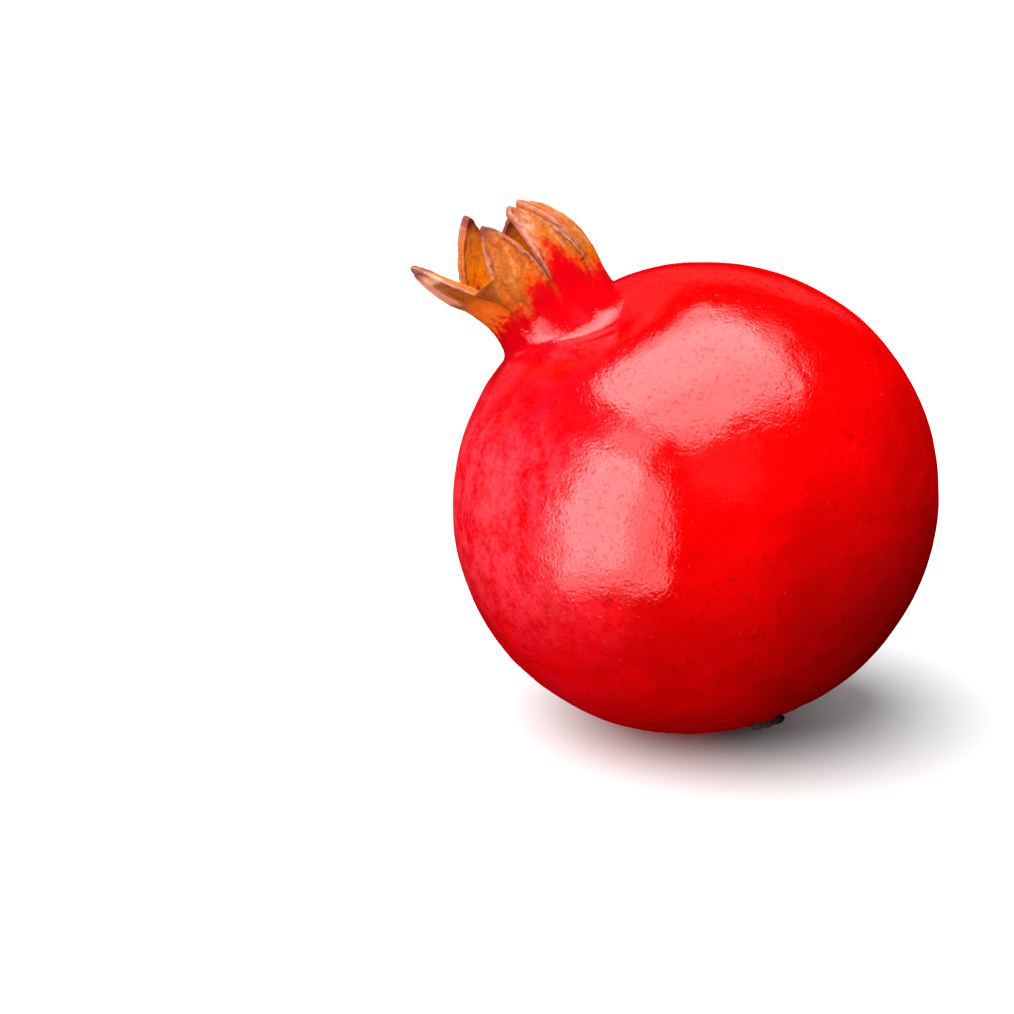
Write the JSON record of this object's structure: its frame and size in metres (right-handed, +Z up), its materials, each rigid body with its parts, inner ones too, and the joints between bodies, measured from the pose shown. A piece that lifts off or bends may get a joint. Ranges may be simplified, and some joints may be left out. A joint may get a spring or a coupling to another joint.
{
  "type": "pomegranate",
  "caption": "Whole pomegranate lying tilted on a small flat spot: round leathery rind with an open crown of pointed sepals, dried stamens in the crown and a short stalk stub.",
  "frame": {"origin": "middle of the small flat spot the fruit rests on, at the surface it lies on", "axes": "+Z up from the surface; the crown leans towards -X; the front, where the stalk stub shows, faces -Y"},
  "size_m": [0.0987, 0.0933, 0.1009],
  "materials": {
    "rind": "waxy semi-gloss, leathery",
    "stalk": "dry, rough",
    "stamen": "dry, matt threads"
  },
  "bodies": {
    "root": {"fruit": "rind", "stem_stub": "stalk", "stamens": "stamen"}
  },
  "joints": []
}
